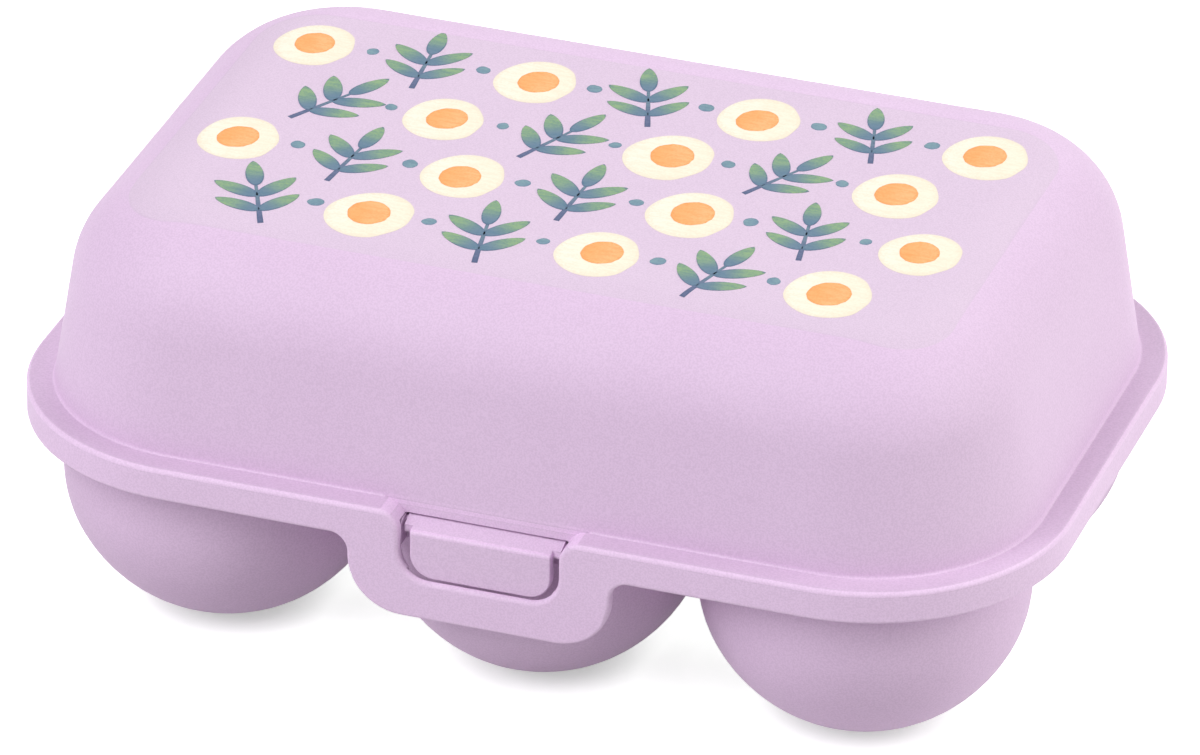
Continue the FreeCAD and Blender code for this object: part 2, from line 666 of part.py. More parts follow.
def make_catch():
    """The catch: a flap with a sloped head that fills the tab's window, and a plate on trunnions."""
    body = new_body("latch_catch")
    foot = window_bottom + size("catch_foot_gap")
    ridge = rim_top - size("catch_head_rise")
    plate_low = rim_top - size("catch_plate")
    head_front = front + size("catch_head_recess")
    foot_front = front + size("catch_foot_recess")
    flap_back = foot_front + size("catch_flap")
    flap = new_sketch(body, "catch_flap_section", "YZ_Plane")
    draw_polygon(flap, [(foot_front, foot), (foot_front, ridge), (head_front, rim_top),
                        (head_front, plate_low), (flap_back, plate_low), (flap_back, foot)])
    block = extrude(body, "Pad", "catch_flap", flap, flap_half * 2, both_sides=True)
    corners = edges_at(block, x=flap_half, z=foot)
    block = round_edges(body, "catch_foot_corners", block, corners, size("catch_foot_corner"))
    ridge_edge = edges_at(block, y=foot_front, z=ridge)
    block = round_edges(body, "catch_ridge", block, ridge_edge, size("catch_ridge_radius"))
    front_edges = edges_at(block, y=foot_front, z=foot)
    round_edges(body, "catch_front_edge", block, front_edges, size("catch_edge_radius"))
    lug_front = front + size("catch_lug_recess")
    slope = (rim_top - ridge) / (head_front - foot_front)
    back = front + size("catch_reach")
    plate = new_sketch(body, "catch_plate_section", "YZ_Plane")
    draw_polygon(plate, [(lug_front, plate_low), (lug_front, ridge + (lug_front - foot_front) * slope),
                         (head_front, rim_top), (back, rim_top), (back, plate_low)])
    extrude(body, "Pad", "catch_plate", plate, plate_half * 2, both_sides=True)
    pin = new_sketch(body, "trunnion_section", "YZ_Plane", plate_half)
    draw_circle(pin, catch_axis_y, catch_axis_z, size("trunnion_radius"))
    trunnion = extrude(body, "Pad", "trunnion", pin, size("trunnion_length"))
    mirror(body, "trunnions", [trunnion])
    return body


def make_pin(label, side):
    """One hinge pin, through a lid knuckle and the tray knuckles on each side of it."""
    pin = doc.addObject("Part::Cylinder", label)
    pin.Label = label
    length = size("lid_knuckle_width") + (size("knuckle_gap") + size("tray_knuckle_width")) * 2
    pin.setExpression("Radius", size("hinge_pin_radius").text)
    pin.setExpression("Height", length.text)
    pin.Placement.Rotation = FreeCAD.Rotation(FreeCAD.Vector(0, 1, 0), 90)
    pin.setExpression("Placement.Base.x", (size("hinge_spread") / 2 * side - length / 2).text)
    pin.setExpression("Placement.Base.y", (hinge_y + middle_shift).text)
    pin.setExpression("Placement.Base.z", hinge_z.text)
    return pin


def check_document():
    """Stops with a message if any object failed to build."""
    for item in doc.Objects:
        if "Invalid" in item.State or "Error" in item.State:
            raise RuntimeError(f"{item.Label} failed: {item.State}")


def main():
    """Builds the pieces, checks them and writes one file for each."""
    lid_form = make_lid_form()
    label_space = make_label_space()
    pieces = [
        make_tray(),
        join("Part::Cut", "lid_shell", lid_form, label_space),
        join("Part::Common", "lid_label", lid_form, label_space),
        make_catch(),
        make_pin("hinge_pin_left", -1),
        make_pin("hinge_pin_right", 1),
    ]
    doc.recompute()
    check_document()
    for piece in pieces:
        if piece.Shape.isNull() or not piece.Shape.isValid():
            raise RuntimeError(f"{piece.Label} has no valid shape")
    os.makedirs("parts", exist_ok=True)
    for piece in pieces:
        piece.Shape.exportStep(f"parts/{piece.Label}.step")
        print(f"{piece.Label}: {len(piece.Shape.Solids)} solid, {piece.Shape.Volume:.0f} mm3")


main()
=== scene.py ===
"""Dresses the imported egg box: moulded plastic, printed label, pale floor, soft light and camera."""
import logging
import math
import random
from collections.abc import Callable
from dataclasses import dataclass, field
from enum import Enum

import bpy
from mathutils import Matrix, Vector


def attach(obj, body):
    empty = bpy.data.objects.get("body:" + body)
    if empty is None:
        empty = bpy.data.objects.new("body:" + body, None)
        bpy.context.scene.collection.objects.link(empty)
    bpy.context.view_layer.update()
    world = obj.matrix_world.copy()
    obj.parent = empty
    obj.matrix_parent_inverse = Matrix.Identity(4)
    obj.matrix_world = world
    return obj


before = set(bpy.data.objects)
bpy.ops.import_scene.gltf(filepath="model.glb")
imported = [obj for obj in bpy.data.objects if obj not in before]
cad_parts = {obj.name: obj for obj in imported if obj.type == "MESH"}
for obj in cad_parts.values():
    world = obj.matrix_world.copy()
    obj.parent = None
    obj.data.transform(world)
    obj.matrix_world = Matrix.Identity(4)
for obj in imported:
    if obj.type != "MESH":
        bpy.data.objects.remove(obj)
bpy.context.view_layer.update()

MM = 0.001
LABEL_NODE = "lid_label"
LABEL_MIDDLE_Y = -4.8 * MM
NOISE_ROUGHNESS = 0.55
SURFACE_OUTPUTS = {"Colour": "Color", "Roughness": "Float", "Height": "Float"}
log = logging.getLogger("egg_box")

Colour = tuple[float, float, float]
ScreenColour = tuple[int, int, int]
Span = tuple[float, float]
Socket = bpy.types.NodeSocket


class Body(str, Enum):
    """The rigid body that the printed pieces ride on."""

    LID = "lid"


class Slot(str, Enum):
    """The record's material slot for the label film; this script gives it to no printed piece."""

    LABEL = "label_film"


class Motif(Enum):
    """What stands at a place of the label's repeating design."""

    ROUND = "round"
    SPRIG = "sprig"


class Print(str, Enum):
    """The printed pieces, by name."""

    ROUND = "print_round"
    HEART = "print_heart"
    LEAF = "print_leaf"
    STEM = "print_stem"
    DOT = "print_dot"


def opaque(colour: Colour) -> tuple[float, float, float, float]:
    """Adds full opacity to a colour."""
    return (*colour, 1.0)


def linear(colour: ScreenColour) -> Colour:
    """Turns a screen colour into the linear values that shaders use.

    Args:
        colour: red, green and blue, 0 to 255.

    Returns:
        The same colour in linear light.
    """

    def channel(value: int) -> float:
        """Follows the standard screen curve for one channel."""
        share = value / 255
        return share / 12.92 if share <= 0.04045 else ((share + 0.055) / 1.055) ** 2.4

    red, green, blue = colour
    return channel(red), channel(green), channel(blue)


class Graph:
    """A node tree that is written one node at a time."""

    def __init__(self, tree: bpy.types.NodeTree) -> None:
        """Starts on an empty tree."""
        self.tree = tree
        tree.nodes.clear()

    def add(self, kind: str, inputs: dict | None = None, **settings: object) -> bpy.types.Node:
        """Adds a node, sets its properties and fills or links its inputs.

        Args:
            kind: the node's type name without the ShaderNode part, or a full type name.
            inputs: input names or numbers with plain values or output sockets.
            settings: properties of the node.

        Returns:
            The new node.
        """
        name = kind if kind.startswith("NodeGroup") else f"ShaderNode{kind}"
        node = self.tree.nodes.new(name)
        for key, value in settings.items():
            setattr(node, key, value)
        for key, value in (inputs or {}).items():
            if isinstance(value, Socket):
                self.tree.links.new(value, node.inputs[key])
            else:
                node.inputs[key].default_value = value
        return node

    def math(self, operation: str, *values: object) -> Socket:
        """Adds a math node and returns its value."""
        node = self.add("Math", dict(enumerate(values)), operation=operation)
        return node.outputs[0]

    def ramp(self, value: Socket, low: float, high: float, start: float = 0.0, end: float = 1.0) -> Socket:
        """Maps a value smoothly from one span to another.

        Args:
            value: the socket to map.
            low: value that gives start.
            high: value that gives end.
            start: result at and below low.
            end: result at and above high.

        Returns:
            The mapped value.
        """
        inputs = {"Value": value, "From Min": low, "From Max": high, "To Min": start, "To Max": end}
        node = self.add("MapRange", inputs, interpolation_type="SMOOTHSTEP")
        return node.outputs["Result"]

    def mix(self, share: object, first: object, second: object) -> Socket:
        """Mixes two colours and returns the result."""
        # A colour mix has its share at input 0, its colours at 6 and 7, and its result at output 2.
        node = self.add("Mix", {0: share, 6: first, 7: second}, data_type="RGBA")
        return node.outputs[2]

    def noise(self, vector: Socket, scale: object, detail: float) -> Socket:
        """Adds a noise texture and returns its value."""
        inputs = {"Vector": vector, "Scale": scale, "Detail": detail, "Roughness": NOISE_ROUGHNESS}
        return self.add("TexNoise", inputs).outputs[0]

    def sway(self, noise: Socket, amount: float, middle: Socket) -> Socket:
        """Lets a noise sway a value by an amount about its middle."""
        return self.math("MULTIPLY_ADD", self.math("SUBTRACT", noise, 0.5), amount, middle)


def new_group(
    name: str, inputs: dict[str, str], outputs: dict[str, str],
) -> tuple[Graph, bpy.types.NodeOutputs]:
    """Starts a shader node group with named sockets.

    Args:
        name: the group's name.
        inputs: input names with their socket kinds.
        outputs: output names with their socket kinds.

    Returns:
        The group's graph and the sockets of its input node.
    """
    tree = bpy.data.node_groups.new(name, "ShaderNodeTree")
    graph = Graph(tree)
    for label, kind in inputs.items():
        tree.interface.new_socket(name=label, in_out="INPUT", socket_type=f"NodeSocket{kind}")
    for label, kind in outputs.items():
        tree.interface.new_socket(name=label, in_out="OUTPUT", socket_type=f"NodeSocket{kind}")
    return graph, graph.add("NodeGroupInput").outputs


@dataclass(frozen=True)
class MouldedSurface:
    """The surface of satin moulded plastic: cloudy colour, fine grain, uneven gloss."""

    fleck_ratio: float = 1.5
    fleck_span: Span = (0.36, 0.66)
    fleck_saturation: float = 1.05
    fleck_value: float = 0.915
    fleck_relief: float = 0.5
    cloud_span: Span = (0.35, 0.68)
    cloud_gloss: float = 0.05
    grain_gloss: float = 0.10

    def group(self) -> bpy.types.NodeTree:
        """Builds the node group.

        Returns:
            The node group.
        """
        inputs = {
            "Vector": "Vector", "Colour": "Color", "Cloud": "Color", "Painted Light": "Float", "Roughness": "Float",
            "Grain Scale": "Float", "Cloud Scale": "Float",
        }
        graph, given = new_group("moulded_surface", inputs, SURFACE_OUTPUTS)
        place = given["Vector"]
        grain = graph.noise(place, given["Grain Scale"], detail=2.0)
        fleck_scale = graph.math("MULTIPLY", given["Grain Scale"], self.fleck_ratio)
        fleck = graph.noise(place, fleck_scale, detail=1.0)
        cloud = graph.noise(place, given["Cloud Scale"], detail=3.0)
        cloudy = graph.mix(graph.ramp(cloud, *self.cloud_span), given["Colour"], given["Cloud"])
        darker = {"Saturation": self.fleck_saturation, "Value": self.fleck_value, "Color": cloudy}
        dark = graph.add("HueSaturation", darker).outputs[0]
        speckled = graph.mix(graph.ramp(fleck, *self.fleck_span), cloudy, dark)
        # Painted light: the gain input makes the colour paler for painted highlights and deeper for painted
        # shade.
        painted_light_colour = graph.add("HueSaturation", {"Value": given["Painted Light"], "Color": speckled}).outputs[0]
        gloss = graph.sway(cloud, self.cloud_gloss, given["Roughness"])
        fine = graph.sway(grain, self.grain_gloss, gloss)
        height = graph.math("MULTIPLY_ADD", fleck, self.fleck_relief, grain)
        graph.add("NodeGroupOutput", {"Colour": painted_light_colour, "Roughness": fine, "Height": height})
        return graph.tree


@dataclass(frozen=True)
class CrayonStrokes:
    """Hand-laid colour on a printed film: slanting strokes, paper tooth and a firmer rim."""

    slant: float = 0.7
    stretch: float = 0.22
    stroke_share: float = 0.6
    tooth_ratio: float = 1.7
    tooth_share: float = 0.5
    streak_span: Span = (0.42, 0.72)
    streak_most: float = 0.9
    rim_ragged: float = 0.35
    rim_span: Span = (0.84, 1.0)
    rim_most: float = 0.75
    rough_span: Span = (0.3, 0.8)
    roughness: Span = (0.58, 0.78)

    def group(self) -> bpy.types.NodeTree:
        """Builds the node group.

        Returns:
            The node group.
        """
        inputs = {
            "Vector": "Vector", "Colour": "Color", "Stroke": "Color", "Rim": "Color", "Radial": "Float",
            "Stroke Scale": "Float",
        }
        graph, given = new_group("crayon_strokes", inputs, SURFACE_OUTPUTS)
        turned = graph.add("Mapping", {
            "Vector": given["Vector"],
            "Rotation": (0.0, 0.0, self.slant),
            "Scale": (self.stretch, 1.0, 1.0),
        })
        stroke = graph.noise(turned.outputs[0], given["Stroke Scale"], detail=3.0)
        tooth_scale = graph.math("MULTIPLY", given["Stroke Scale"], self.tooth_ratio)
        tooth = graph.noise(given["Vector"], tooth_scale, detail=2.0)
        strokes = graph.math("MULTIPLY", stroke, self.stroke_share)
        laid = graph.math("MULTIPLY_ADD", tooth, self.tooth_share, strokes)
        streaks = graph.ramp(laid, *self.streak_span, 0.0, self.streak_most)
        streaked = graph.mix(streaks, given["Colour"], given["Stroke"])
        outer = graph.sway(tooth, self.rim_ragged, given["Radial"])
        rimmed = graph.mix(graph.ramp(outer, *self.rim_span, 0.0, self.rim_most), streaked, given["Rim"])
        rough = graph.ramp(laid, *self.rough_span, *self.roughness)
        graph.add("NodeGroupOutput", {"Colour": rimmed, "Roughness": rough, "Height": laid})
        return graph.tree


def start_material(name: str) -> tuple[Graph, bpy.types.Material]:
    """Makes an empty node material.

    Args:
        name: the material's name.

    Returns:
        Its graph and the material.
    """
    made = bpy.data.materials.new(name)
    made.use_nodes = True
    return Graph(made.node_tree), made


def finish_material(graph: Graph, group: bpy.types.Node, bump: float, depth: float, specular: float) -> None:
    """Ends a material: the group's colour, roughness and height go to a shader.

    Args:
        graph: the material's graph.
        group: the surface's group node.
        bump: strength of the relief.
        depth: height of the relief in metres.
        specular: the shader's specular level.
    """
    relief = graph.add("Bump", {"Strength": bump, "Distance": depth, "Height": group.outputs["Height"]})
    shader = graph.add("BsdfPrincipled", {
        "Base Color": group.outputs["Colour"],
        "Roughness": group.outputs["Roughness"],
        "Normal": relief.outputs[0],
        "Specular IOR Level": specular,
    })
    graph.add("OutputMaterial", {"Surface": shader.outputs[0]})


@dataclass(frozen=True)
class PaintedLightBand:
    """A level of a moulding painted paler as a highlight or deeper as shade, between two heights in metres.
    """

    low: float
    high: float
    gain: float
    fade: float = 0.1 * MM


@dataclass(frozen=True, kw_only=True)
class PlasticFinish:
    """Satin moulded plastic, with painted highlights and painted shade at some levels."""

    name: str
    colour: Colour
    cloud: Colour
    painted_light_bands: tuple[PaintedLightBand, ...] = ()
    roughness: float = 0.60
    grain_scale: float = 2400.0
    cloud_scale: float = 46.0
    bump: float = 0.10
    bump_depth: float = 0.04 * MM
    specular: float = 0.42

    def material(self, surface: bpy.types.NodeTree) -> bpy.types.Material:
        """Makes the material.

        Args:
            surface: the moulded surface's node group.

        Returns:
            The new material.
        """
        graph, made = start_material(self.name)
        place = graph.add("TexCoord").outputs["Object"]
        group = graph.add("Group", {
            "Vector": place,
            "Colour": self.ground(graph, place),
            "Cloud": opaque(self.cloud),
            # Painted highlights and painted shade at some heights.
            "Painted Light": self.tone(graph, place),
            "Roughness": self.roughness,
            "Grain Scale": self.grain_scale,
            "Cloud Scale": self.cloud_scale,
        }, node_tree=surface)
        finish_material(graph, group, self.bump, self.bump_depth, self.specular)
        return made

    def ground(self, graph: Graph, place: Socket) -> object:
        """Gives the main colour, the same all over."""
        return opaque(self.colour)

    def tone(self, graph: Graph, place: Socket) -> object:
        """Works out the plastic's painted highlight or painted shade at a height.

        Args:
            graph: the material's graph.
            place: object coordinates.

        Returns:
            The colour's gain, one outside the painted bands.
        """
        if not self.painted_light_bands:
            return 1.0
        level = graph.add("SeparateXYZ", {0: place}).outputs[2]
        gain: object = 1.0
        for band in self.painted_light_bands:
            rise = graph.ramp(level, band.low - band.fade, band.low)
            fall = graph.ramp(level, band.high, band.high + band.fade, 1.0, 0.0)
            gain = graph.math("MULTIPLY_ADD", graph.math("MULTIPLY", rise, fall), band.gain - 1.0, gain)
        return gain


@dataclass(frozen=True, kw_only=True)
class FilmFinish(PlasticFinish):
    """Thin printed film on the lid: a paler ground with a faint line where the film ends."""

    edge: Colour
    edge_width: float = 0.36 * MM
    half_length: float = 61.0 * MM
    half_depth: float = 33.0 * MM
    corner: float = 9.0 * MM
    roughness: float = 0.68
    grain_scale: float = 3000.0
    cloud_scale: float = 60.0
    bump: float = 0.08
    bump_depth: float = 0.03 * MM
    specular: float = 0.22

    def ground(self, graph: Graph, place: Socket) -> object:
        """Gives the main colour, with the line along the film's edge."""
        return graph.mix(self.near_edge(graph, place), opaque(self.colour), opaque(self.edge))

    def near_edge(self, graph: Graph, place: Socket) -> Socket:
        """Masks the narrow line along the film's rounded outline.

        Args:
            graph: the material's graph.
            place: object coordinates.

        Returns:
            One in the line, nought inside it.
        """
        axes = graph.add("SeparateXYZ", {0: place})
        across = graph.math("ABSOLUTE", axes.outputs[0])
        along = graph.math("ABSOLUTE", graph.math("SUBTRACT", axes.outputs[1], LABEL_MIDDLE_Y))
        over_x = graph.math("MAXIMUM", graph.math("SUBTRACT", across, self.half_length - self.corner), 0.0)
        over_y = graph.math("MAXIMUM", graph.math("SUBTRACT", along, self.half_depth - self.corner), 0.0)
        square = graph.math("ADD", graph.math("POWER", over_x, 2.0), graph.math("POWER", over_y, 2.0))
        reach = graph.math("SQRT", square)
        return graph.ramp(reach, self.corner - self.edge_width, self.corner - self.edge_width / 2)


@dataclass(frozen=True)
class InkFinish:
    """Crayon-like printing ink whose colour runs from a motif's root to its tip."""

    name: str
    root: ScreenColour
    tip: ScreenColour
    stroke: ScreenColour
    rim: ScreenColour
    stroke_scale: float = 1700.0
    stroke_mix: float = 0.5
    turn_span: Span = (0.15, 0.75)
    bump: float = 0.10
    bump_depth: float = 0.03 * MM
    specular: float = 0.2

    def material(self, strokes: bpy.types.NodeTree) -> bpy.types.Material:
        """Makes the material.

        Args:
            strokes: the crayon strokes' node group.

        Returns:
            The new material.
        """
        graph, made = start_material(self.name)
        coordinates = graph.add("TexCoord")
        axes = graph.add("SeparateXYZ", {0: coordinates.outputs["UV"]})
        along, across = axes.outputs[0], axes.outputs[1]
        turned = graph.ramp(along, *self.turn_span)
        body = graph.mix(turned, opaque(linear(self.root)), opaque(linear(self.tip)))
        out_x = graph.math("POWER", graph.math("MULTIPLY_ADD", along, 2.0, -1.0), 2.0)
        out_y = graph.math("POWER", graph.math("MULTIPLY_ADD", across, 2.0, -1.0), 2.0)
        group = graph.add("Group", {
            "Vector": coordinates.outputs["Object"],
            "Colour": body,
            "Stroke": graph.mix(self.stroke_mix, body, opaque(linear(self.stroke))),
            "Rim": opaque(linear(self.rim)),
            "Radial": graph.math("SQRT", graph.math("ADD", out_x, out_y)),
            "Stroke Scale": self.stroke_scale,
        }, node_tree=strokes)
        finish_material(graph, group, self.bump, self.bump_depth, self.specular)
        return made


# Painted light on the lid: the skirt and the tab bar below the rim are painted paler, as if lit more.
SKIRT_PAINTED_LIGHT = PaintedLightBand(10.0 * MM, 33.7 * MM, 1.05)
# Painted highlight along the rim's rounded outer edge.
RIM_EDGE_PAINTED_HIGHLIGHT = PaintedLightBand(33.9 * MM, 34.5 * MM, 1.13, 0.06 * MM)
# Painted shade on the flat ledge beside the dome, where the dome shades it.
LEDGE_PAINTED_SHADE = PaintedLightBand(34.57 * MM, 34.61 * MM, 0.93, 0.03 * MM)
# Painted highlight in the crease at the foot of the dome's wall.
WALL_FOOT_PAINTED_HIGHLIGHT = PaintedLightBand(34.7 * MM, 35.1 * MM, 1.04)
# Painted highlight along the catch's ridge.
CATCH_RIDGE_PAINTED_HIGHLIGHT = PaintedLightBand(31.0 * MM, 31.5 * MM, 1.13)
LID_PLASTIC = PlasticFinish(
    name="lid_plastic", colour=(0.757, 0.566, 0.768), cloud=(0.749, 0.557, 0.760),
    painted_light_bands=(SKIRT_PAINTED_LIGHT, RIM_EDGE_PAINTED_HIGHLIGHT, LEDGE_PAINTED_SHADE, WALL_FOOT_PAINTED_HIGHLIGHT),
)
TRAY_PLASTIC = PlasticFinish(
    name="tray_plastic", colour=(0.747, 0.556, 0.756), cloud=(0.738, 0.547, 0.748),
    roughness=0.64, specular=0.26,
)
CATCH_PLASTIC = PlasticFinish(
    name="catch_plastic", colour=(0.757, 0.566, 0.768), cloud=(0.748, 0.556, 0.759),
    painted_light_bands=(CATCH_RIDGE_PAINTED_HIGHLIGHT,), cloud_scale=90.0,
)
PIN_PLASTIC = PlasticFinish(
    name="pin_plastic", colour=(0.692, 0.505, 0.702), cloud=(0.680, 0.494, 0.690),
    roughness=0.5, cloud_scale=140.0,
)
LABEL_FILM = FilmFinish(
    name="label_film", colour=(0.739, 0.590, 0.742), cloud=(0.733, 0.583, 0.736), edge=(0.716, 0.557, 0.724),
)
INKS = {
    Print.ROUND: InkFinish("cream_ink", (250, 243, 226), (248, 240, 220), (236, 222, 196), (240, 228, 206)),
    Print.HEART: InkFinish("yolk_ink", (246, 176, 112), (248, 186, 128), (236, 148, 78), (238, 160, 98)),
    Print.LEAF: InkFinish("leaf_ink", (104, 128, 150), (140, 170, 128), (84, 122, 140), (88, 110, 138)),
    Print.STEM: InkFinish("stem_ink", (98, 108, 140), (110, 134, 150), (80, 92, 124), (86, 98, 130)),
    Print.DOT: InkFinish("dot_ink", (120, 148, 164), (126, 156, 166), (96, 124, 146), (100, 126, 150)),
}


class Bench:
    """Steps of modelling that the label's pieces share."""

    @staticmethod
    def clear() -> None:
        """Leaves edit mode and deselects everything."""
        if bpy.context.object and bpy.context.object.mode != "OBJECT":
            bpy.ops.object.mode_set(mode="OBJECT")
        bpy.ops.object.select_all(action="DESELECT")

    @staticmethod
    def disc(name: str, sides: int, rings: int, half_x: float, half_y: float) -> bpy.types.Object:
        """Adds a flat oval of rings about its middle, left in edit mode with all of it selected.

        Args:
            name: the object's name.
            sides: corners of the outline.
            rings: rings from the outline to the middle.
            half_x: half of the length.
            half_y: half of the width.

        Returns:
            The new object.
        """
        Bench.clear()
        bpy.ops.mesh.primitive_circle_add(vertices=sides, radius=1.0, fill_type="NGON")
        piece = bpy.context.object
        piece.name = name
        bpy.ops.object.mode_set(mode="EDIT")
        bpy.ops.mesh.select_mode(type="FACE")
        bpy.ops.mesh.select_all(action="SELECT")
        for _ in range(rings - 1):
            bpy.ops.mesh.inset(thickness=1.0 / rings, use_even_offset=False)
        bpy.ops.mesh.poke()
        bpy.ops.mesh.select_mode(type="VERT")
        bpy.ops.mesh.select_all(action="SELECT")
        bpy.ops.transform.resize(value=(half_x, half_y, 1.0))
        return piece

    @staticmethod
    def pick(piece: bpy.types.Object, wanted: Callable[[Vector], bool]) -> None:
        """Selects the vertices of a piece in edit mode that a test wants.

        Args:
            piece: the object in edit mode.
            wanted: test of a vertex's place.
        """
        bpy.ops.mesh.select_all(action="DESELECT")
        bpy.ops.object.mode_set(mode="OBJECT")
        for vertex in piece.data.vertices:
            vertex.select = wanted(vertex.co)
        bpy.ops.object.mode_set(mode="EDIT")

    @staticmethod
    def roughen(amount: float, seed: int) -> None:
        """Makes the selected outline a little uneven and flattens it again.

        Args:
            amount: how far a vertex may move.
            seed: start of the random numbers.
        """
        bpy.ops.transform.vertex_random(offset=amount, uniform=0.3, seed=seed)
        bpy.ops.transform.resize(value=(1.0, 1.0, 0.0))

    @staticmethod
    def end_flat(piece: bpy.types.Object) -> bpy.types.Object:
        """Leaves edit mode and gives a flat piece a UV map that spans its own length and width.

        Args:
            piece: the object.

        Returns:
            The same object.
        """
        Bench.clear()
        places = [vertex.co for vertex in piece.data.vertices]
        low = Vector((min(p.x for p in places), min(p.y for p in places)))
        span = Vector((max(p.x for p in places), max(p.y for p in places))) - low
        layer = piece.data.uv_layers[0] if piece.data.uv_layers else piece.data.uv_layers.new(name="UVMap")
        for loop in piece.data.loops:
            place = places[loop.vertex_index]
            layer.data[loop.index].uv = ((place.x - low.x) / span.x, (place.y - low.y) / span.y)
        return piece

    @staticmethod
    def apply(piece: bpy.types.Object) -> None:
        """Applies every modifier of a piece."""
        Bench.clear()
        piece.select_set(True)
        bpy.context.view_layer.objects.active = piece
        for modifier in list(piece.modifiers):
            bpy.ops.object.modifier_apply(modifier=modifier.name)


@dataclass
class Stamp:
    """A flat master and the copies that were made of it."""

    master: bpy.types.Object
    copies: list[bpy.types.Object] = field(default_factory=list)

    def press(self, x: float, y: float, turn: float, grow: float) -> None:
        """Copies the master, mesh and all, to a place on the label's plane.

        Args:
            x: place along the length.
            y: place across the depth.
            turn: turn about the upright axis, in radians.
            grow: size against the master's.
        """
        twin = self.master.copy()
        twin.data = self.master.data.copy()
        bpy.context.collection.objects.link(twin)
        turned = Matrix.Translation((x, y, 0.0)) @ Matrix.Rotation(turn, 4, "Z")
        twin.data.transform(turned @ Matrix.Scale(grow, 4))
        self.copies.append(twin)

    def join(self, name: str) -> bpy.types.Object:
        """Removes the master and joins the copies into one named piece.

        Args:
            name: the piece's name.

        Returns:
            The joined piece.
        """
        bpy.data.objects.remove(self.master)
        Bench.clear()
        for twin in self.copies:
            twin.select_set(True)
        bpy.context.view_layer.objects.active = self.copies[0]
        bpy.ops.object.join()
        piece = bpy.context.object
        piece.name = name
        piece.data.name = name
        return piece


@dataclass(frozen=True)
class LeafPair:
    """Two leaves of a sprig: their place along the stem, their spread in radians and their size."""

    share: float
    spread: float
    size: float


